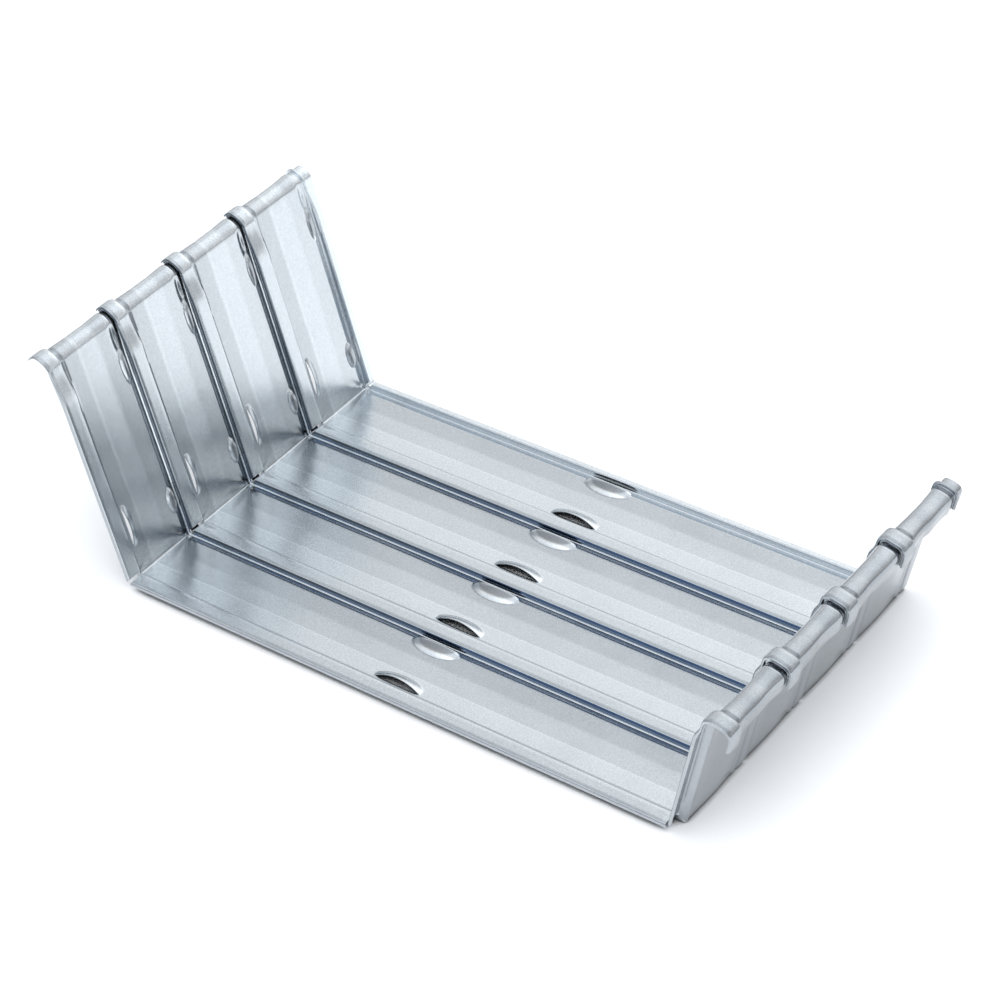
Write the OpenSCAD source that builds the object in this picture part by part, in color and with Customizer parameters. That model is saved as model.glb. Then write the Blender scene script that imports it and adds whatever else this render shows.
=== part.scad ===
// Open sheet-metal tray made of identical strips that hook into one another side by side.
// Each strip is one long flat floor with a tall back wall, a low front wall and a curled lip on each wall.

/* [Tray] */
// Pitch from one strip to the next
pitch = 60; // [54:1:70]
// Length of the floor between the two creases
floor_len = 407; // [300:1:500]
// Thickness of the sheet
sheet = 0.7; // [0.5:0.1:0.8]
// Clearance between two strips in a seam
gap = 0.35; // [0.3:0.05:0.5]

/* [Strip profile] */
// Height of the raised shoulder that covers the neighbour's edge
shoulder_h = 6.6; // [6:0.1:8]
// Width of the raised shoulder
shoulder_w = 11.2; // [9:0.1:13]
// Run of the step from the shoulder down to the floor
step_run = 1.2; // [0.8:0.1:2]
// Radius of the shoulder's rounded nose
nose_r = 2.2; // [1.5:0.1:2.4]
// Height of the nose's lower edge above the underside
nose_bottom = 4.1; // [3.2:0.1:4.4]
// Radius at the foot of the upstand on the right edge
foot_r = 1; // [0.6:0.1:1.5]
// Outer radius of the hem on top of the upstand
hem_r = 1.05; // [1:0.05:1.3]
// Sideways play of a seam, closing
seam_play = 1; // [0.5:0.1:1.5]

/* [Walls] */
// Outward lean of the back wall
back_lean = 12.5; // [8:0.5:20]
// Outward lean of the front wall
front_lean = 14.5; // [8:0.5:20]
// Straight height of the back wall, along its slope
back_h = 154.5; // [120:0.5:180]
// Straight height of the front wall, along its slope
front_h = 91.5; // [70:0.5:110]

/* [Lips] */
// Height of the shoulder where it is pressed down over a lip
lip_shoulder_h = 4.5; // [4.4:0.1:5]
// Radius of the back lip's inner face
back_lip_r = 7; // [6:0.5:10]
// Turn of the back lip
back_lip_turn = 130; // [90:5:140]
// Radius of the front lip's inner face, which makes a half turn
front_lip_r = 6.8; // [5.5:0.1:8]
// Length of the flat flange that ends the front lip
front_flange = 4.8; // [3:0.1:6]
// Radius of the round clearance cut through the raised edges at each crease
crease_cut_r = 3; // [2:0.5:4]

/* [Louvres] */
// Length of a louvre's mouth
mouth_len = 34; // [28:1:38]
// Height of a louvre's mouth above the sheet
mouth_h = 4.5; // [3.5:0.1:4.8]
// Depth of a louvre behind its mouth
louvre_depth = 10; // [8:0.5:12]
// Width of the slot that the shear leaves in front of a mouth
shear_gap = 0.6; // [0.4:0.1:0.8]
// Middle of the floor louvres, from the back crease
floor_louvre_x = 200; // [100:5:250]
// Middle of the lower wall louvres, up the back wall
low_louvre_s = 33; // [26:1:50]
// Scale of the lower wall louvres
low_louvre_scale = 0.8; // [0.6:0.02:0.9]
// Middle of the upper wall louvres, up the back wall
high_louvre_s = 128; // [95:1:135]
// Scale of the upper wall louvres
high_louvre_scale = 0.64; // [0.6:0.02:0.9]

/* [Hidden] */
NODES = ["strip_1", "strip_2", "strip_3", "strip_4"];
strip_count = len(NODES);
$fn = 64;
far = 1000;
half_turn = 180;

// Front face of the upstand, measured from the strip's own nose
wall_u = pitch + sheet + gap;
foot_u = wall_u - foot_r;
// Start of the flat edge that reaches under the neighbour's shoulder
edge_u = wall_u + 2*hem_r + foot_r;
step_foot = shoulder_w + step_run;
// Setback of the step's underside from its upper face
step_back = sheet*0.9;
strip_w = pitch + step_foot - sheet - 2*gap - seam_play;
// Slit in the raised edges at each crease, and the round bend that joins the flat sheet across it
crease_slit = 0.3;
bend_r = 1.07*sheet;
bend_rise = 0.35*sheet;
// Height that a crease cut leaves standing on the sheet
cut_above = 0.9;
// Spare length of the floor and the walls, which the plane at each crease trims off
crease_ends = 20;
// Lines along which the louvres are sheared, on the left and on the right of a strip
left_cut = step_foot + 4.6;
right_cut = foot_u - 2;

// Angle of the plane that halves the corner between the floor and a wall
function mitre(lean) = (90 + lean)/2;

// Reach of the lips beyond the creases, which sets the middle of the tray
lip_raised = lip_shoulder_h - sheet;
back_reach = back_h*sin(back_lean) + back_lip_r*cos(back_lean)
    - (back_lip_r + lip_raised)*cos(back_lean + back_lip_turn);
front_reach = front_h*sin(front_lean) + front_lip_r*cos(front_lean) + front_lip_r + lip_raised;
total_x = back_reach + floor_len + front_reach;
total_y = (strip_count - 1)*pitch + strip_w;

// Rounds to a micrometre, so that the outline has the same points in every direction it is drawn
function micron(v) = round(v*1000)/1000;

function arc(cx, cy, r, a0, a1, n = 8) =
    [for (i = [0:n]) let (a = a0 + (a1 - a0)*i/n) [micron(cx + r*cos(a)), micron(cy + r*sin(a))]];

// Top of the hem under a shoulder of this height, one clearance below it
function hem_top(top) = top - sheet - gap;
function nose_low(top) = nose_bottom + top - shoulder_h;
function nose_face(top) = arc(nose_r, top - nose_r, nose_r, 180, 90);
function nose_back(top) = arc(nose_r, top - nose_r, nose_r - sheet, 90, 180, 6);
function hem_face(top) = arc(wall_u + hem_r, hem_top(top) - hem_r, hem_r, 180, 0, 10);
function hem_back(top) = arc(wall_u + hem_r, hem_top(top) - hem_r, hem_r - sheet, 0, 180, 6);

// Closed outline of the bent sheet: [across the strip, above the underside]. Its shoulder stands
// at one height, and its hem stands as for a shoulder of another height.
function strip_outline(top, hem) = concat(
    [[0, nose_low(top)]],
    nose_face(top),
    [[shoulder_w, top], [step_foot, sheet]],
    arc(foot_u, sheet + foot_r, foot_r, -90, 0, 5),
    hem_face(hem),
    arc(edge_u, sheet + foot_r, foot_r, 180, 270, 5),
    [[strip_w, sheet], [strip_w, 0]],
    arc(edge_u, sheet + foot_r, foot_r + sheet, 270, 180, 5),
    hem_back(hem),
    arc(foot_u, sheet + foot_r, foot_r + sheet, 0, -90, 5),
    [[step_foot - step_back, 0], [shoulder_w - step_back, top - sheet]],
    nose_back(top),
    [[sheet, nose_low(top)]]);

// Outlines of the short upright stretches of sheet where the shoulder and the hem step down to a lip
function shoulder_drop() = concat(
    [[0, nose_low(lip_shoulder_h)]],
    nose_face(shoulder_h),
    [[shoulder_w, shoulder_h], [step_foot, sheet], [step_foot - step_back, 0],
     [shoulder_w - step_back, lip_shoulder_h - sheet]],
    nose_back(lip_shoulder_h),
    [[sheet, nose_low(lip_shoulder_h)]]);

function hem_drop() = concat(
    [[wall_u, sheet + foot_r]],
    hem_face(shoulder_h),
    [[wall_u + 2*hem_r, sheet + foot_r], [wall_u + 2*hem_r - sheet, sheet + foot_r]],
    hem_back(lip_shoulder_h),
    [[wall_u + sheet, sheet + foot_r]]);

// An outline set upright, with its height pointing along X and its width along Y, and drawn out along Z
module drawn_up(outline, from, to) {
    translate([0, 0, from])
        linear_extrude(height = to - from)
            polygon([for (p = outline) [p[1] - sheet, p[0]]]);
}

// The half space on the floor's side of the plane that halves a crease, moved off that plane
module floor_side(off, lean) {
    translate([0, -far/2, sheet])
        rotate([0, 90 - mitre(lean), 0])
            translate([off, 0, -far/2])
                cube([far, far, far]);
}

// A louvre: a slice of a spherical shell, open along its mouth. Drawn with its mouth at y = 0
// and its back towards +y, on a sheet whose upper face is z = sheet.
plan_r = (louvre_depth*louvre_depth + mouth_len*mouth_len/4)/(2*louvre_depth);
plan_off = plan_r - louvre_depth;
// Radius of the sphere that has this height over the mouth and meets the sheet on the plan circle
cap_k = (plan_r*plan_r - plan_off*plan_off - mouth_h*mouth_h)/(2*mouth_h);
cap_r = sqrt(cap_k*cap_k + plan_r*plan_r);

module louvre_body(r, low, front) {
    intersection() {
        translate([0, -plan_off, sheet - cap_k])
            sphere(r, $fn = 96);
        translate([-mouth_len, front, low])
            cube([2*mouth_len, 3*louvre_depth, 4*mouth_h]);
    }
}

module louvre_shell() {
    louvre_body(cap_r, sheet/2, 0);
}

module louvre_hollow() {
    louvre_body(cap_r - sheet, -mouth_h, -shear_gap);
}

// Puts a louvre on a flat sheet, at a distance along it, with its mouth on the left or the right cut
module on_sheet(along, left, size) {
    translate([along, left ? left_cut : right_cut, 0])
        mirror([0, left ? 0 : 1, 0])
            translate([0, 0, sheet*(1 - size)])
                scale(size)
                    children();
}

// Lays a flat sheet against the back wall, with its x running up the wall
module on_back_wall() {
    translate([0, 0, sheet])
        rotate([0, 90 - back_lean, 0])
            mirror([1, 0, 0])
                translate([0, 0, -sheet])
                    children();
}

// A pair of louvres on the floor and two pairs up the back wall
module at_louvres() {
    for (left = [true, false]) {
        on_sheet(floor_louvre_x, left, 1) children();
        on_back_wall() {
            on_sheet(low_louvre_s, left, low_louvre_scale) children();
            on_sheet(high_louvre_s, left, high_louvre_scale) children();
        }
    }
}

// A wall with its lip, standing on the crease line at the floor's upper face
module wall(height, lean, lip_r, turn, flange) {
    shoulder_end = height - sheet;
    hem_end = shoulder_end - gap - sheet;
    lip_outline = strip_outline(lip_shoulder_h, lip_shoulder_h);
    difference() {
        rotate([0, -lean, 0]) {
            drawn_up(strip_outline(shoulder_h, shoulder_h), -crease_ends, hem_end);
            drawn_up(hem_drop(), hem_end, hem_end + sheet);
            drawn_up(strip_outline(shoulder_h, lip_shoulder_h), hem_end, height);
            drawn_up(shoulder_drop(), shoulder_end, height);
            translate([-lip_r, 0, height]) {
                rotate([90, 0, 0])
                    rotate_extrude(angle = turn, $fn = 96)
                        polygon([for (p = lip_outline) [lip_r + p[1] - sheet, -p[0]]]);
                if (flange > 0)
                    rotate([0, -turn, 0])
                        translate([lip_r, 0, 0])
                            drawn_up(lip_outline, 0, flange);
            }
        }
        translate([0, 0, -sheet])
            floor_side(-crease_slit/2, lean);
    }
}

// Round clearance through the raised edges of a crease, clear of the flat sheet below it
module crease_cut(lean) {
    translate([(crease_cut_r + sheet + cut_above)/tan(mitre(lean)), -pitch, 2*sheet + cut_above + crease_cut_r])
        rotate([-90, 0, 0])
            cylinder(r = crease_cut_r, h = 3*pitch);
}

// Inside of the bend that joins the flat sheet of the floor to the flat sheet of a wall
module crease_bend(from, to, lean) {
    translate([bend_rise*cos(mitre(lean)), from, sheet + bend_rise*sin(mitre(lean))])
        rotate([-90, 0, 0])
            cylinder(r = bend_r, h = to - from);
}

module crease_bends(lean) {
    crease_bend(step_foot + sheet, foot_u - sheet, lean);
    crease_bend(edge_u + sheet, strip_w - sheet, lean);
}

// One strip, its nose on y = 0 and its back crease on x = 0
module strip() {
    difference() {
        union() {
            intersection() {
                translate([-crease_ends, 0, 0])
                    rotate([90, 0, 90])
                        linear_extrude(height = floor_len + 2*crease_ends)
                            polygon(strip_outline(shoulder_h, shoulder_h));
                floor_side(crease_slit/2, back_lean);
                translate([floor_len, 0, 0])
                    mirror([1, 0, 0])
                        floor_side(crease_slit/2, front_lean);
            }
            translate([0, 0, sheet])
                wall(back_h, back_lean, back_lip_r, back_lip_turn, 0);
            crease_bends(back_lean);
            translate([floor_len, 0, 0])
                mirror([1, 0, 0]) {
                    translate([0, 0, sheet])
                        wall(front_h, front_lean, front_lip_r, half_turn, front_flange);
                    crease_bends(front_lean);
                }
            at_louvres() louvre_shell();
        }
        at_louvres() louvre_hollow();
        crease_cut(back_lean);
        translate([floor_len, 0, 0])
            mirror([1, 0, 0])
                crease_cut(front_lean);
    }
}

module placed_strip(index) {
    translate([back_reach - total_x/2, index*pitch - total_y/2, 0])
        strip();
}

module strip_1() { color([0.76, 0.79, 0.82]) placed_strip(0); }
module strip_2() { color([0.72, 0.75, 0.79]) placed_strip(1); }
module strip_3() { color([0.76, 0.79, 0.82]) placed_strip(2); }
module strip_4() { color([0.72, 0.75, 0.79]) placed_strip(3); }

strip_1();
strip_2();
strip_3();
strip_4();
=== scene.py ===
import math

import bpy
import numpy as np
from mathutils import Matrix, Vector


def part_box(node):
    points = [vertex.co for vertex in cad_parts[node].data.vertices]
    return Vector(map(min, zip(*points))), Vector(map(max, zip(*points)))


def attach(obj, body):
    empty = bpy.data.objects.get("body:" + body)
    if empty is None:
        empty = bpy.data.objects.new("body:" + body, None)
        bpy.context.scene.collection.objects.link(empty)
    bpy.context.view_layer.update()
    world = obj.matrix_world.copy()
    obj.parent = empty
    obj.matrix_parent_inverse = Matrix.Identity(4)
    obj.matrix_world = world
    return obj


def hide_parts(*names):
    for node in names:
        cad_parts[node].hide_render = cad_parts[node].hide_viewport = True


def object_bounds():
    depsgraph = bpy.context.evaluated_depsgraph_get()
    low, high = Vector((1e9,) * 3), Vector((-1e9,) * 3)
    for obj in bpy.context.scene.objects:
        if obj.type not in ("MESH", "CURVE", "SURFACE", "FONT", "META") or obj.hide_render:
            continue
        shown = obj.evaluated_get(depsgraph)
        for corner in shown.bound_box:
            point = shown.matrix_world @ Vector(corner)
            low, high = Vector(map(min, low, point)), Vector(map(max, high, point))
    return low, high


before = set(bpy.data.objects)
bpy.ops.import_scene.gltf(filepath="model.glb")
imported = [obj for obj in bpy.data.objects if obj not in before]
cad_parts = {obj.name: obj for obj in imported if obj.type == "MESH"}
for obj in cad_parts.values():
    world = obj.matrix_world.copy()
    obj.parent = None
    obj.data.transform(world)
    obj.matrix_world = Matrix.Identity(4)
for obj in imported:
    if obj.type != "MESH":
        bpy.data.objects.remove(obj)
cad_low, cad_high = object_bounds()

# ---------------------------------------------------------------- sizes, in millimetres
# A place on a strip is (s, u, h). s runs along the strip from the back crease and is below 0 on the back
# wall, u runs across it from the nose, and h is the height above the underside of the flat sheet.
MM = 0.001
STRIPS = sorted(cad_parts)
SHEET = 0.7
HALF = SHEET / 2
BACK_LEAN = math.radians(12.5)
FRONT_LEAN = math.radians(14.5)

# Across a strip: the shoulder with its nose, the step down to the flat, the upstand with its hem, the edge
SHOULDER_H = 6.6
SHOULDER_W = 11.2
STEP_FOOT = 12.4
STEP_SHIFT = 0.3
NOSE_R = 1.5
NOSE_BOTTOM = 3.9
FLAT_START = 14.3
FLAT_END = 59.6
UPSTAND_FROM = 60.2
WALL_U = 61.05
FOOT_R = 1.0
HEM_TOP = 5.55
HEM_R = 1.05
EDGE_U = WALL_U + 2 * HEM_R + FOOT_R
STRIP_W = 70.0

# Along a strip: both walls, their lips and the flange under the front lip
LIP_SHOULDER_H = 4.5
BACK_H = 154.5
BACK_LIP_R = 7.0
BACK_LIP_TURN = math.radians(130)
FRONT_H = 91.5
FRONT_LIP_R = 6.8
FRONT_LIP_TURN = math.pi
FRONT_FLANGE = 4.8
LIP_RAISED = LIP_SHOULDER_H - SHEET
BACK_REACH = (
    BACK_H * math.sin(BACK_LEAN)
    + BACK_LIP_R * math.cos(BACK_LEAN)
    - (BACK_LIP_R + LIP_RAISED) * math.cos(BACK_LEAN + BACK_LIP_TURN)
)
FRONT_REACH = (
    FRONT_H * math.sin(FRONT_LEAN)
    + FRONT_LIP_R * math.cos(FRONT_LEAN)
    + FRONT_LIP_R
    + LIP_RAISED
)
FLOOR_LEN = (cad_high[0] - cad_low[0]) / MM - BACK_REACH - FRONT_REACH

# Powers of the lips' sections: 1 is round, under 1 is squarer and over 1 is drawn in towards a diamond
BACK_LIP_POWER = 1.3
FRONT_LIP_POWER = 0.58

# Shares of their height that the shoulder and the hem lose over the back lip and over the front lip,
# and the run of wall over which they lose it
BACK_DROP = (0.52, 0.64, 26.0)
FRONT_DROP = (0.42, 0.52, 10.0)
HEM_DROP_LEAD = 4.0

# At each crease: half length of the round bend and of the finest rows, half width of the notch and the
# height above which it cuts the raised edges, and the run over which raised sheet comes back into step
BEND = 1.7
FINE = 0.8
NOTCH = 2.8
NOTCH_ABOVE = 1.6
EASE = 8.0

# Lines that the louvres are sheared on: from the shoulder's side, from the upstand's side, and high on the
# back wall
LEFT_CUT = 17.0
RIGHT_CUT = 58.05
SLOT_CUT = 14.6

# Facets that rolling left in the flat, as (u, height); their painted reflections, as (u, brightness); and the
# painted highlights on their ridges, as (u, added brightness) and a width
FACET_HEIGHTS = [(STEP_FOOT, 0.30), (14.6, 0.56), (28.5, 0.08), (43, 0.03), (56.5, 0.62), (60, 0.12)]
FLOOR_PAINTED_REFLECTIONS = [
    (13.5, 0.86), (14.5, 0.88), (28.3, 0.90), (28.9, 0.83), (42.8, 0.82), (43.4, 0.76), (58, 0.77), (60, 0.8),
]
WALL_PAINTED_REFLECTIONS = [
    (13.5, 0.9), (14.5, 0.70), (26.3, 0.72), (26.9, 0.86), (43.8, 0.88), (44.4, 0.80), (58, 0.82), (60, 0.8),
]
RIDGE_HIGHLIGHTS = [(28.6, 0.16), (43.1, 0.14)]
RIDGE_HIGHLIGHT_W = 0.35

# Painted light and shade of the other stretches, from 0 to 1: painted reflections on the shoulder, the free
# edges and the front, painted shade on the free nose and in the seams' gaps and grooves. The material gives
# dark, navy and grey their colours.
SHOULDER_PAINTED_LIGHT = 0.85
FREE_EDGE_PAINTED_LIGHT = 1.0
FREE_NOSE_PAINTED_SHADE = 0.55
FRONT_PAINTED_SHADE = 0.52
GREY_PAINTED_SHADE = 0.36
GAP_FOOT_PAINTED_SHADE = 0.31
NAVY_PAINTED_REFLECTION = 0.27
DARK_PAINTED_SHADE = 0.20
GROOVE_PAINTED_SHADE = 0.12

FIRST_SEED = 40
WORLD_LIGHT = 1.9


# ---------------------------------------------------------------- curves
def arc(cu, ch, radius, start, end, count):
    """Points of an arc in the profile's plane; angles in degrees."""
    turns = np.radians(np.linspace(start, end, count))
    return np.column_stack([cu + radius * np.cos(turns), ch + radius * np.sin(turns)])


def rounded(corners, count):
    """A line through corners (u, h, radius), each corner rounded by an arc-like curve."""
    points = [corners[0][:2]]
    for before, here, after in zip(corners, corners[1:], corners[2:]):
        p = np.array(here[:2], float)
        to_before = np.array(before[:2], float) - p
        to_after = np.array(after[:2], float) - p
        to_before /= np.linalg.norm(to_before)
        to_after /= np.linalg.norm(to_after)
        opening = math.acos(float(np.clip(to_before @ to_after, -1, 1)))
        reach = here[2] / math.tan(opening / 2)
        a, b = p + to_before * reach, p + to_after * reach
        for t in np.linspace(0, 1, count):
            points.append((1 - t) ** 2 * a + 2 * t * (1 - t) * p + t * t * b)
    points.append(corners[-1][:2])
    return np.array(points, float)


def spaced(stops):
    """Positions from the first stop on: each further stop is (position, largest spacing before it)."""
    places = [stops[0]]
    for position, spacing in stops[1:]:
        count = max(1, math.ceil((position - places[-1]) / spacing - 1e-6))
        places.extend(np.linspace(places[-1], position, count + 1)[1:])
    return np.array(places)


def smooth(t):
    """0 up to t = 0, 1 from t = 1 on, and an even rise between."""
    t = np.clip(t, 0, 1)
    return t * t * (3 - 2 * t)


def joined(pairs, places):
    """Values at some places, on straight lines between the (place, value) pairs."""
    known, values = zip(*pairs)
    return np.interp(places, known, values)


# ---------------------------------------------------------------- profile across a strip
def strip_profile():
    """Middle surface of the sheet across a strip: arrays of u and of h."""
    top = SHOULDER_H - HALF
    rim = [(HALF, NOSE_BOTTOM), (HALF, NOSE_BOTTOM + 0.4), (HALF, NOSE_BOTTOM + 0.6)]
    nose = arc(NOSE_R, SHOULDER_H - NOSE_R, NOSE_R - HALF, 180, 90, 9)
    plateau = [(u, top) for u in (2.4, 3.3, 4.2, 5.1, 6.0, 6.8, 7.6, 8.4)]
    step = rounded([
        (9.2, top, 0),
        (SHOULDER_W - STEP_SHIFT, top, 1.4),
        (STEP_FOOT - STEP_SHIFT, HALF, 0.9),
        (STEP_FOOT + 1.6, HALF, 0),
    ], 6)
    flat_u = spaced([
        FLAT_START, (SLOT_CUT, 0.5), (LEFT_CUT, 0.8), (30, 0.7), (45.5, 1.6), (RIGHT_CUT, 0.7),
        (FLAT_END, 0.5),
    ])
    flat = np.column_stack([flat_u, np.full(len(flat_u), HALF)])
    foot = arc(WALL_U - FOOT_R, SHEET + FOOT_R, FOOT_R + HALF, -90, 0, 6)
    upstand = [(WALL_U + HALF, 3.1)]
    hem_turn = arc(WALL_U + HEM_R, HEM_TOP - HEM_R, HEM_R - HALF, 180, 0, 9)
    outer_leg = [(WALL_U + 2 * HEM_R - HALF, 3.0)]
    heel = arc(EDGE_U, SHEET + FOOT_R, FOOT_R + HALF, 180, 270, 6)
    edge = [(EDGE_U + 1.5, HALF), (EDGE_U + 3.5, HALF), (STRIP_W, HALF)]
    parts = [rim, nose, plateau, step, flat, foot, upstand, hem_turn, outer_leg, heel, edge]
    line = np.vstack([np.array(part, float).reshape(-1, 2) for part in parts])
    return line[:, 0], line[:, 1]


def lowered(s, u, h):
    """Heights across the strip with the shoulder and the hem pressed down over both lips."""
    loss = np.zeros_like(s)
    for over, (shoulder, hem, run) in ((-s - BACK_H, BACK_DROP), (s - FLOOR_LEN - FRONT_H, FRONT_DROP)):
        loss += (u < STEP_FOOT) * shoulder * smooth((over + run) / run)
        loss += (u > WALL_U - FOOT_R) * hem * smooth((over + run + HEM_DROP_LEAD) / run)
    return HALF + (h - HALF) * (1 - loss)


# ---------------------------------------------------------------- painted light and shade on the sheet
def painted_facet_light(s, u):
    """Painted reflection of each facet that rolling left, a painted highlight on each ridge, and painted
    shade on the front.
    """
    ridge_highlight = sum(shine * np.exp(-((u - place) / RIDGE_HIGHLIGHT_W) ** 2) for place, shine in RIDGE_HIGHLIGHTS)
    painted_light = np.where(s > 0, joined(FLOOR_PAINTED_REFLECTIONS, u) + ridge_highlight, joined(WALL_PAINTED_REFLECTIONS, u) + 0.5 * ridge_highlight)
    painted_light = np.where((u > STEP_FOOT + 1) & (u < UPSTAND_FROM), painted_light, SHOULDER_PAINTED_LIGHT)
    # painted shade: the front wall and its lip are dimmer, a little less on the lip's round and more past it,
    # with a faint wave across
    front = smooth((s - FLOOR_LEN) / 2.0)
    front_lip = smooth((s - FLOOR_LEN - FRONT_H) / 3.0)
    outer_lip = smooth((s - FLOOR_LEN - FRONT_H - 10.0) / 3.0)
    front_painted_shade = FRONT_PAINTED_SHADE + 0.04 * np.cos(u / 8.0) + 0.06 * front_lip - 0.12 * outer_lip
    return painted_light + front * (front_painted_shade - painted_light)


def painted_seam_light(index, s, u_line, h_line, painted_light):
    """The painted light with painted shade on the nose and in the gap of each seam, so the nose's cut edge
    reads as a painted highlight, painted highlights on free edges, and painted shade in the grooves of the
    front.
    """
    front = s > FLOOR_LEN + BEND
    # painted shade in the gap, turning to a painted navy reflection further along the strip
    gap_painted_shade = DARK_PAINTED_SHADE + (NAVY_PAINTED_REFLECTION - DARK_PAINTED_SHADE) * smooth((s - 60.0) / 220.0)
    nose = (u_line < NOSE_R) & (h_line > NOSE_BOTTOM + 0.3) & (h_line < SHOULDER_H - 0.6)
    upstand = u_line > UPSTAND_FROM
    gap = upstand & (h_line > 1.5)
    under_nose = (s < 0) | (h_line > 2.5)
    painted_light = np.where(nose & ~front, gap_painted_shade if index else FREE_NOSE_PAINTED_SHADE, painted_light)
    painted_light = np.where(upstand & ~front, FREE_EDGE_PAINTED_LIGHT, painted_light)
    if index < len(STRIPS) - 1:
        painted_light = np.where(gap & ~front, np.where(under_nose, gap_painted_shade, GAP_FOOT_PAINTED_SHADE), painted_light)
    groove = gap & (u_line > WALL_U) & (u_line < EDGE_U)
    return np.where(groove & front & (s < FLOOR_LEN + FRONT_H - 4), GROOVE_PAINTED_SHADE, painted_light)


# ---------------------------------------------------------------- path along a strip
def squared(phi, power):
    """(cosine, sine) of a turn: squarer than a circle for a power under 1, nearer a diamond over 1."""
    c, sn = np.cos(phi), np.sin(phi)
    return np.sign(c) * np.abs(c) ** power, np.abs(sn) ** power


def wall_point(a, r, lean, height, lip_r, turn, power):
    """(outward, up) of a point r above the sheet's upper face, at distance a up a wall and over its lip."""
    along = np.array([math.sin(lean), math.cos(lean)])
    inward = np.array([-math.cos(lean), math.sin(lean)])
    phi = np.clip((a - height) / lip_r, 0, turn)
    straight = np.minimum(a, height)
    past = np.maximum(a - height - lip_r * turn, 0)
    # past its top, a lip that doesn't come all the way round stays round
    power_there = np.where(phi <= math.pi / 2, power, 1.0 if turn < math.pi else power)
    c, sn = squared(phi, power_there)
    side = inward * c[..., None] + along * sn[..., None]
    ahead = along * np.cos(phi)[..., None] - inward * np.sin(phi)[..., None]
    centre = along * straight[..., None] - inward * lip_r
    lip = centre + side * (lip_r + r)[..., None] + ahead * past[..., None]
    return lip[..., 0], lip[..., 1]


def sharp_path(s, r):
    """x from the back crease and z of a point r above the sheet's upper face, with sharp creases."""
    back_lead, front_lead = (
        np.maximum(r, 0) / math.tan((math.pi / 2 + lean) / 2) for lean in (BACK_LEAN, FRONT_LEAN))
    a_back = np.maximum(-s, 0)
    a_front = np.maximum(s - FLOOR_LEN, 0)
    back_x, back_z = wall_point(
        a_back + back_lead * np.exp(-a_back / EASE),
        r, BACK_LEAN, BACK_H, BACK_LIP_R, BACK_LIP_TURN, BACK_LIP_POWER)
    front_x, front_z = wall_point(
        a_front + front_lead * np.exp(-a_front / EASE),
        r, FRONT_LEAN, FRONT_H, FRONT_LIP_R, FRONT_LIP_TURN, FRONT_LIP_POWER)
    floor_x = (
        s + back_lead * np.exp(-np.maximum(s, 0) / EASE)
        - front_lead * np.exp(-np.maximum(FLOOR_LEN - s, 0) / EASE)
    )
    x = np.where(s < 0, -back_x, np.where(s > FLOOR_LEN, FLOOR_LEN + front_x, floor_x))
    z = np.where(s < 0, back_z, np.where(s > FLOOR_LEN, front_z, r)) + SHEET
    return x, z


def path(s, r):
    """As sharp_path, with each crease bent round a small radius."""
    x, z = sharp_path(s, r)
    for crease in (0.0, FLOOR_LEN):
        t = np.clip((s - crease + BEND) / (2 * BEND), 0, 1)
        near = np.abs(s - crease) < BEND
        before, corner, after = (sharp_path(np.full_like(s, crease + d), r) for d in (-BEND, 0.0, BEND))
        bent = [
            (1 - t) ** 2 * before[k] + 2 * t * (1 - t) * corner[k] + t * t * after[k] for k in (0, 1)
        ]
        x = np.where(near, bent[0], x)
        z = np.where(near, bent[1], z)
    return x, z


def placed(s, u, h):
    """Points (x, y, z) of places on a strip."""
    x, z = path(s, h - SHEET)
    return np.stack([x, u, z], axis=-1)


# ---------------------------------------------------------------- louvres
def louvre_list():
    """Middle along the strip, line it is sheared on, half length, height, depth and pull back of each rim."""
    rows = [
        (200.0, LEFT_CUT, 17.0, 4.5, 9.0, 1.2), (200.0, RIGHT_CUT, 17.0, 4.1, 9.5, 1.5),
        (-34.0, LEFT_CUT, 14.5, 2.6, 6.0, 0.8), (-28.5, RIGHT_CUT, 9.0, 2.4, 5.5, 0.3),
        (-128.5, SLOT_CUT, 11.5, 0.7, 1.3, 0.3), (-126.0, RIGHT_CUT, 12.0, 1.7, 4.0, 0.3),
    ]
    names = ("s", "cut", "half", "high", "deep", "back")
    return [dict(zip(names, row), left=row[1] < RIGHT_CUT) for row in rows]


def louvre_lift(louvre, s, u):
    """(rise, shift in u) of the sheet behind a louvre's mouth."""
    away = (u - louvre["cut"]) if louvre["left"] else (louvre["cut"] - u)
    across = np.clip(1 - ((s - louvre["s"]) / (louvre["half"] + 2.0)) ** 2, 0, 1)
    mouth = np.clip(1 - ((s - louvre["s"]) / louvre["half"]) ** 2, 0, 1)
    depth = np.maximum(louvre["deep"] * np.sqrt(across), 1e-6)
    t = np.clip(away / depth, 0, 1)
    bulge = mouth ** (0.8 if louvre["left"] else 0.62)
    fall = (1 - t ** 1.7) if louvre["left"] else (1 - 0.55 * t - 0.45 * t ** 5)
    rise = louvre["high"] * bulge * np.where(away > -1e-6, fall, 0)
    pull = louvre["back"] * mouth * (1 - t) ** 2 * (1 if louvre["left"] else -1)
    return rise, np.where(away > -1e-6, pull, 0)


def painted_louvre_highlight(level, painted_light):
    """A painted highlight round the rim of a right-hand louvre and painted shade over its middle; level is
    its share of rise.
    """
    return painted_light + smooth(level / 0.2) * (1.0 - 0.42 * smooth((level - 0.44) / 0.12) - painted_light)


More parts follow.
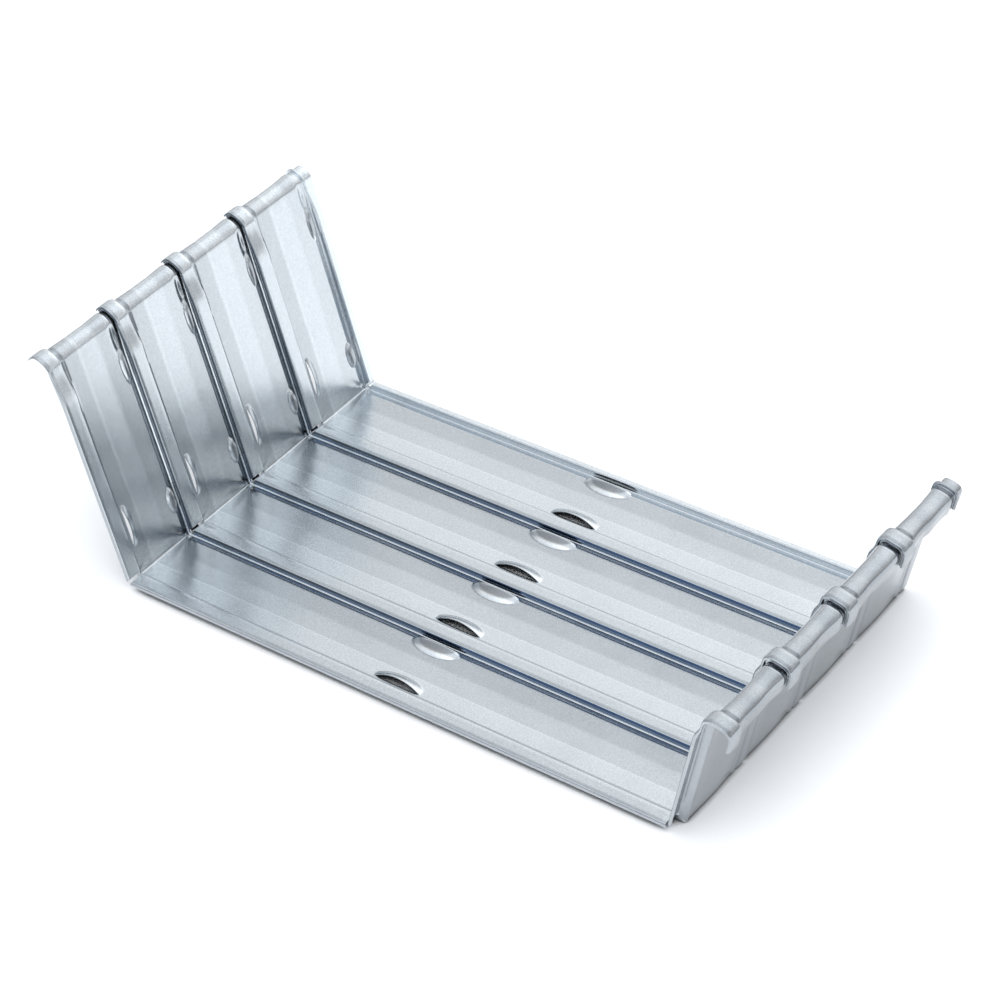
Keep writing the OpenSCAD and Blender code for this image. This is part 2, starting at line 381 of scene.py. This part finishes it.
def pressed_louvres(rows, u_line, h_line, s, u, h, painted_light):
    """Rise and shift of the sheet, its painted light and shade, and (rise, shift, left) at each slit point
    (row, column).
    """
    rise_all = np.zeros_like(u)
    shift_all = np.zeros_like(u)
    slit = {}
    on_sheet = (h < 2) & (u < 59.9) & (u > STEP_FOOT)
    for louvre in louvre_list():
        column = int(np.argmin(np.abs(u_line - louvre["cut"]) + 9 * (h_line > 1)))
        rise, shift = louvre_lift(louvre, s, u)
        behind = np.zeros_like(on_sheet)
        if louvre["left"]:
            behind[:, column + 1:] = True
        else:
            behind[:, :column] = True
        hood = on_sheet & behind
        rise_all += np.where(hood, rise, 0)
        shift_all += np.where(hood, shift, 0)
        # painted highlight round each right-hand louvre's rim and painted shade over its middle
        if not louvre["left"]:
            painted_light = painted_louvre_highlight(np.where(hood, rise, 0) / louvre["high"], painted_light)
        open_rows = np.abs(rows - louvre["s"]) < louvre["half"] - 0.01
        for i in np.flatnonzero(open_rows):
            slit[(i, column)] = (rise[i, column], shift[i, column], louvre["left"])
    return rise_all, shift_all, painted_light, slit


# ---------------------------------------------------------------- wrinkles and dents
def crease_wrinkles(s, u, rng):
    """Folds that fan out on the flat from both ends of each crease."""
    total = np.zeros_like(s)
    for crease, size in ((0.0, 1.0), (FLOOR_LEN, 0.55)):
        for pivot, side, reach, high in ((WALL_U, 1, 6.0, 0.26), (STEP_FOOT - 1, -1, 3.5, 0.16)):
            for floor_side in (1, -1):
                inward = floor_side * (1 if crease == 0.0 else -1)
                off = (s - crease) * inward
                du = (pivot - u) * side
                rho = np.hypot(off, du)
                theta = np.arctan2(np.maximum(du, 0), np.maximum(off, 0))
                shift = rng.uniform(-0.5, 0.5)
                wave = np.cos(6.0 * theta + shift) + 0.6 * np.cos(11.0 * theta + 2.3 * shift + 1.0)
                swell = (rho / reach) * np.exp(1 - rho / reach)
                edge = np.clip(off / 4.0, 0, 1) * np.clip(du / 4.0, 0, 1)
                total += np.where((off > 0) & (du > 0), high * size * wave * swell * edge, 0)
    return total


def buckles(s, u, rng):
    """Shallow waves that handling has left in the flat sheet of the floor and the walls."""
    total = np.zeros_like(s)
    for _ in range(5):
        long_wave = rng.uniform(70, 160)
        phase = rng.uniform(0, 2 * math.pi)
        total += 0.035 * np.sin(2 * math.pi * s / long_wave + phase + u / rng.uniform(9, 20))
    return total


def flat_mask(u):
    """1 in the middle of the flat, falling to 0 at the step and at the foot of the upstand."""
    return np.clip((u - STEP_FOOT - 0.3) / 2.5, 0, 1) * np.clip((59.7 - u) / 2.5, 0, 1)


def dimple(s, u, s0, u0, long, wide, high):
    """An oval dent or bump."""
    return high * np.exp(-(((s - s0) / long) ** 2) - ((u - u0) / wide) ** 2)


def worked(index, s, u, h):
    """s and h with what rolling, pressing and handling have left in the sheet."""
    rng = np.random.default_rng(FIRST_SEED + index)
    mask = flat_mask(u)
    h = h + joined(FACET_HEIGHTS, u) * mask
    h += buckles(s, u, rng) * mask
    h += crease_wrinkles(s, u, rng) * mask
    h += dimple(s, u, -BACK_H + 9, 56.6, 9.0, 1.9, -1.5) * mask
    if index:
        shoulder_top = smooth((u - 5.0) / 1.2) * smooth((10.4 - u) / 1.2)
        h += dimple(s, u, 9.0, 7.6, 6.5, 0.9, -0.7) * shoulder_top
    round_lip = np.clip((s - FLOOR_LEN - FRONT_H - 4) / (FRONT_LIP_R * FRONT_LIP_TURN), 0, 1)
    h += round_lip * mask * 0.35 * np.sin(u / 4.3 + 1.7 * index)
    ragged = 0.35 * np.sin(u / 3.1 + index) + 0.3 * np.sin(u / 1.7 + 2 * index)
    return s + round_lip ** 3 * mask * ragged, h


# ---------------------------------------------------------------- one strip as a mesh
def strip_rows():
    """Places of the rows along the strip, close together where the sheet is bent or pierced."""
    back_end = -(BACK_H + BACK_LIP_R * BACK_LIP_TURN)
    front_top = FLOOR_LEN + FRONT_H
    front_round = front_top + FRONT_LIP_R * FRONT_LIP_TURN
    return spaced([
        back_end, (-BACK_H - 1, 0.75), (-141, 1.0), (-113, 0.75), (-50, 3.0), (-17, 0.75), (-6, 1.2),
        (-FINE, 0.6), (0, 0.4), (FINE, 0.4), (6, 0.6), (30, 1.2), (180, 5.0), (220, 0.75),
        (FLOOR_LEN - 22, 5.0), (FLOOR_LEN - 6, 1.2), (FLOOR_LEN - FINE, 0.6), (FLOOR_LEN, 0.4),
        (FLOOR_LEN + FINE, 0.4), (FLOOR_LEN + 6, 0.6), (FLOOR_LEN + 22, 1.4), (front_top - 8, 4.0),
        (front_top, 1.0), (front_round, 0.75), (front_round + FRONT_FLANGE, 0.75),
    ])


def strip_faces(rows, u_line, h_line, twins):
    """Faces between the rows and columns, slit along the louvres and notched at the creases."""
    columns = len(u_line)
    notched = (h_line > NOTCH_ABOVE) & ((u_line < STEP_FOOT) | (u_line > WALL_U))

    def corner(i, j, cell_j):
        """Index of grid point (i, j) as the cell between columns cell_j and cell_j + 1 sees it."""
        if (i, j, True) in twins and cell_j >= j:
            return twins[(i, j, True)]
        if (i, j, False) in twins and cell_j < j:
            return twins[(i, j, False)]
        return i * columns + j

    faces = []
    for i, middle in enumerate((rows[:-1] + rows[1:]) / 2):
        at_crease = min(abs(middle), abs(middle - FLOOR_LEN)) < NOTCH
        for j in range(columns - 1):
            if at_crease and notched[j] and notched[j + 1]:
                continue
            faces.append((
                corner(i, j, j), corner(i + 1, j, j), corner(i + 1, j + 1, j), corner(i, j + 1, j)))
    return faces


def strip_surface(index):
    """Vertices, faces and painted light and shade of a strip's middle surface."""
    rows = strip_rows()
    u_line, h_line = strip_profile()
    s, u = np.meshgrid(rows, u_line, indexing="ij")
    s_worked, h = worked(index, s, u, lowered(s, u, np.broadcast_to(h_line, s.shape)))
    # painted reflections of the facets and the front, and painted shade and highlights at the seams and
    # louvres
    painted_light = painted_seam_light(index, s, u_line, h_line, painted_facet_light(s, u))
    rise, shift, painted_light, slit = pressed_louvres(rows, u_line, h_line, s, u, h, painted_light)

    vertices = list(placed(s_worked, u + shift, h + rise).reshape(-1, 3))
    painted_lights = list(painted_light.reshape(-1))
    twins = {}
    for (i, j), (up, aside, left) in slit.items():
        spot = placed(np.array([s_worked[i, j]]), np.array([u[i, j] + aside]), np.array([h[i, j] + up]))
        twins[(i, j, left)] = len(vertices)
        vertices.append(spot[0])
        painted_lights.append(painted_light[i, j])
    return np.array(vertices), strip_faces(rows, u_line, h_line, twins), np.array(painted_lights)


def mesh_object(name, vertices, faces, material):
    mesh = bpy.data.meshes.new(name)
    mesh.from_pydata([tuple(v) for v in vertices], [], faces)
    mesh.validate()
    mesh.materials.append(material)
    mesh.shade_smooth()
    thing = bpy.data.objects.new(name, mesh)
    bpy.context.scene.collection.objects.link(thing)
    return thing


def thickened(piece):
    """Gives a middle surface the sheet's thickness and keeps it inside the CAD model's box."""
    solid = piece.modifiers.new("thickness", "SOLIDIFY")
    solid.thickness = SHEET * MM
    solid.offset = 0.0
    solid.use_even_offset = True
    solid.use_quality_normals = True
    solid.thickness_clamp = 1.0
    sheet = bpy.data.meshes.new_from_object(piece.evaluated_get(bpy.context.evaluated_depsgraph_get()))
    piece.modifiers.clear()
    piece.data = sheet
    places = np.empty(len(sheet.vertices) * 3)
    sheet.vertices.foreach_get("co", places)
    places = np.clip(places.reshape(-1, 3), cad_low, cad_high)
    sheet.vertices.foreach_set("co", places.ravel())
    sheet.set_sharp_from_angle(angle=math.radians(40))


def build_strip(index, node, material):
    vertices, faces, painted_lights = strip_surface(index)
    low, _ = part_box(node)
    crease_x = cad_low[0] + BACK_REACH * MM
    in_place = vertices * MM + np.array([crease_x, low[1], cad_low[2]])
    used = np.unique(np.array(faces))
    renumber = -np.ones(len(in_place), int)
    renumber[used] = np.arange(len(used))
    kept_faces = [tuple(int(renumber[v]) for v in face) for face in faces]
    piece = mesh_object("sheet_" + node, in_place[used], kept_faces, material)
    # the painted light and shade go to the material on the points
    painted_light = piece.data.attributes.new("painted_light", "FLOAT", "POINT")
    painted_light.data.foreach_set("value", painted_lights[used])
    thickened(piece)
    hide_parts(node)
    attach(piece, node)


# ---------------------------------------------------------------- shader nodes
def add_node(tree, kind, **settings):
    node = tree.nodes.new(kind)
    for key, value in settings.items():
        setattr(node, key, value)
    return node


def noise(tree, vector, scale, detail):
    node = add_node(tree, "ShaderNodeTexNoise")
    node.inputs["Scale"].default_value = scale
    node.inputs["Detail"].default_value = detail
    tree.links.new(vector, node.inputs["Vector"])
    return node.outputs["Fac"]


def mapped(tree, value, from_range, to_range=(0.0, 1.0)):
    node = add_node(tree, "ShaderNodeMapRange")
    node.inputs["From Min"].default_value, node.inputs["From Max"].default_value = from_range
    node.inputs["To Min"].default_value, node.inputs["To Max"].default_value = to_range
    tree.links.new(value, node.inputs["Value"])
    return node.outputs["Result"]


def mixed(tree, first, second, share):
    """A value that is partly the first and, by a share from 0 to 1, the second."""
    node = add_node(tree, "ShaderNodeMix", data_type="FLOAT")
    node.inputs["Factor"].default_value = share
    tree.links.new(first, node.inputs["A"])
    tree.links.new(second, node.inputs["B"])
    return node.outputs["Result"]


def multiplied(tree, colour, factor):
    """A colour times another colour or a value."""
    node = add_node(tree, "ShaderNodeMix", data_type="RGBA", blend_type="MULTIPLY")
    node.inputs["Factor"].default_value = 1.0
    tree.links.new(colour, node.inputs["A"])
    tree.links.new(factor, node.inputs["B"])
    return node.outputs["Result"]


def shade_ramp(tree, value, shades):
    """A colour ramp on a value from 0 to 1, with its stops given as (position, colour)."""
    ramp = add_node(tree, "ShaderNodeValToRGB")
    stops = ramp.color_ramp.elements
    for _ in shades[len(stops):]:
        stops.new(0.5)
    for stop, (position, colour) in zip(stops, shades):
        stop.position = position
        stop.color = (*colour, 1)
    tree.links.new(value, ramp.inputs["Fac"])
    return ramp.outputs["Color"]


def cover(tree, distance):
    """1 in the open, less where something stands closer than the distance, in metres."""
    node = add_node(tree, "ShaderNodeAmbientOcclusion", samples=8)
    node.inputs["Distance"].default_value = distance
    return node.outputs["AO"]


# ---------------------------------------------------------------- materials
def galvanised():
    """Zinc-coated steel: pale and semi-gloss, with a fine grain, faint crystals and rolling streaks, painted
    light and shade from the sheet's points, and painted shade in its recesses.
    """
    material = bpy.data.materials.new("galvanised_sheet")
    material.use_nodes = True
    tree = material.node_tree
    shader = tree.nodes["Principled BSDF"]
    shader.inputs["Metallic"].default_value = 1.0

    place = add_node(tree, "ShaderNodeTexCoord").outputs["Object"]
    grain = noise(tree, place, 1100.0, 4.0)
    clouds = noise(tree, place, 38.0, 5.0)
    crystals = add_node(tree, "ShaderNodeTexVoronoi")
    crystals.inputs["Scale"].default_value = 420.0
    tree.links.new(place, crystals.inputs["Vector"])
    stretch = add_node(tree, "ShaderNodeMapping")
    stretch.inputs["Scale"].default_value = (6.0, 900.0, 60.0)
    tree.links.new(place, stretch.inputs["Vector"])
    streaks = noise(tree, stretch.outputs["Vector"], 1.0, 3.0)

    mottle = mixed(tree, clouds, crystals.outputs["Distance"], 0.3)
    zinc = shade_ramp(tree, mottle, [(0.25, (0.70, 0.75, 0.785)), (0.75, (0.80, 0.85, 0.885))])
    # painted reflections, highlights and shade stored on the sheet's points, turned into near black, dark,
    # navy, grey and white
    painted_light = add_node(tree, "ShaderNodeAttribute", attribute_name="painted_light").outputs["Fac"]
    shade = shade_ramp(tree, painted_light, [
        (0.0, (0.02, 0.03, 0.05)), (DARK_PAINTED_SHADE, (0.16, 0.18, 0.20)), (NAVY_PAINTED_REFLECTION, (0.13, 0.21, 0.36)),
        (GREY_PAINTED_SHADE, (0.38, 0.38, 0.39)), (1.0, (1.0, 1.0, 1.0)),
    ])
    speckle = mapped(tree, grain, (0.3, 0.7), (0.88, 1.08))
    # painted shade where sheet stands within 5 mm, in the seams, under the noses and inside the louvres
    painted_recess_shade = mapped(tree, cover(tree, 0.005), (0.12, 0.42), (0.06, 1.0))
    colour = multiplied(tree, multiplied(tree, multiplied(tree, zinc, shade), speckle), painted_recess_shade)
    tree.links.new(colour, shader.inputs["Base Color"])
    tree.links.new(mapped(tree, clouds, (0.3, 0.7), (0.20, 0.27)), shader.inputs["Roughness"])

    bump = add_node(tree, "ShaderNodeBump")
    bump.inputs["Strength"].default_value = 0.25
    bump.inputs["Distance"].default_value = 0.00006
    tree.links.new(mixed(tree, grain, streaks, 0.35), bump.inputs["Height"])
    tree.links.new(bump.outputs["Normal"], shader.inputs["Normal"])
    return material


def pale_floor():
    """Matt and nearly white, with a painted shadow only where something stands close over it."""
    material = bpy.data.materials.new("pale_floor")
    material.use_nodes = True
    tree = material.node_tree
    shader = tree.nodes["Principled BSDF"]
    shader.inputs["Roughness"].default_value = 0.9
    # painted shadow under and round the sheet, within 12 mm of it
    shade = shade_ramp(tree, cover(tree, 0.012), [(0.24, (0.01, 0.01, 0.012)), (0.50, (0.93, 0.935, 0.94))])
    tree.links.new(shade, shader.inputs["Base Color"])
    return material


# ---------------------------------------------------------------- camera, floor and light
def look_camera():
    """The camera: direction, roll and focal length as the object is seen from its front right."""
    azimuth, elevation, roll = (math.radians(v) for v in (39.39, 38.24, -5.05))
    ahead = Vector((
        -math.sin(azimuth) * math.cos(elevation),
        math.cos(azimuth) * math.cos(elevation),
        -math.sin(elevation),
    ))
    right = Vector((math.cos(azimuth), math.sin(azimuth), 0))
    up = right.cross(ahead)
    right_rolled = math.cos(roll) * right + math.sin(roll) * up
    up_rolled = -math.sin(roll) * right + math.cos(roll) * up
    turn = Matrix((right_rolled, up_rolled, -ahead)).transposed().to_4x4()
    data = bpy.data.cameras.new("camera")
    data.sensor_width = 36.0
    data.lens = 109.27
    data.clip_end = 50.0
    camera = bpy.data.objects.new("camera", data)
    camera.matrix_world = Matrix.Translation((0.91312, -1.10548, 1.19327)) @ turn
    bpy.context.scene.collection.objects.link(camera)
    bpy.context.scene.camera = camera
    bpy.context.scene.view_settings.view_transform = "Standard"


def studio_floor():
    reach, drop = 6.0, 0.0004
    z = cad_low[2] - drop
    corners = [(-reach, -reach, z), (reach, -reach, z), (reach, reach, z), (-reach, reach, z)]
    mesh = bpy.data.meshes.new("studio_floor")
    mesh.from_pydata(corners, [], [(0, 1, 2, 3)])
    mesh.materials.append(pale_floor())
    floor = bpy.data.objects.new("studio_floor", mesh)
    bpy.context.scene.collection.objects.link(floor)


def soft_light(name, place, target, size, power):
    """A wide light that the metal doesn't mirror."""
    data = bpy.data.lights.new(name, "AREA")
    data.shape = "RECTANGLE"
    data.size, data.size_y = size
    data.energy = power
    light = bpy.data.objects.new(name, data)
    light.location = place
    light.visible_glossy = False
    light.rotation_euler = (Vector(target) - Vector(place)).to_track_quat("-Z", "Y").to_euler()
    bpy.context.scene.collection.objects.link(light)


def studio_world():
    """A pale room for the metal to mirror: bright far side, dim strip overhead, bluish near side."""
    world = bpy.data.worlds.new("studio")
    world.use_nodes = True
    bpy.context.scene.world = world
    tree = world.node_tree
    background = tree.nodes["Background"]
    direction = add_node(tree, "ShaderNodeSeparateXYZ")
    tree.links.new(add_node(tree, "ShaderNodeTexCoord").outputs["Generated"], direction.inputs["Vector"])
    turn = add_node(tree, "ShaderNodeMath", operation="ARCTAN2")
    tree.links.new(direction.outputs["Z"], turn.inputs[0])
    tree.links.new(direction.outputs["Y"], turn.inputs[1])

    # degrees round from the far horizon, over the top, to the near horizon
    stops_around = [
        (0, (0.50, 0.51, 0.52)), (18, (0.74, 0.75, 0.76)), (34, (1.0, 1.0, 1.0)), (44, (0.95, 0.96, 0.97)),
        (54, (0.70, 0.72, 0.74)), (75, (0.46, 0.48, 0.51)), (98, (0.52, 0.52, 0.53)),
        (114, (0.95, 0.94, 0.92)), (134, (0.86, 0.90, 0.96)), (147, (0.64, 0.70, 0.80)),
        (162, (0.42, 0.46, 0.54)), (180, (0.07, 0.08, 0.10)),
    ]
    half_turns = mapped(tree, turn.outputs["Value"], (0.0, math.pi))
    around = shade_ramp(tree, half_turns, [(degrees / 180, colour) for degrees, colour in stops_around])

    # brightness from the back wall's side, x = -1, to the front wall's side, x = 1
    stops_sideways = [
        (-1.0, 0.40), (-0.80, 0.47), (-0.65, 0.58), (-0.45, 0.62), (-0.2, 0.80), (0.0, 1.0), (0.3, 0.9),
        (0.6, 0.5), (1.0, 0.45),
    ]
    across = mapped(tree, direction.outputs["X"], (-1.0, 1.0))
    sideways = shade_ramp(tree, across, [((x + 1) / 2, (v, v, v)) for x, v in stops_sideways])
    tree.links.new(multiplied(tree, around, sideways), background.inputs["Color"])
    background.inputs["Strength"].default_value = WORLD_LIGHT


# ---------------------------------------------------------------- the scene
look_camera()
studio_floor()
studio_world()
soft_light("overhead", (0.3, 0.0, 2.4), (0, 0, 0), (3.0, 3.0), 36)
soft_light("fill", (2.2, -1.4, 1.2), (0.2, 0, 0), (2.0, 1.6), 22)
zinc_sheet = galvanised()
for index, node in enumerate(STRIPS):
    build_strip(index, node, zinc_sheet)
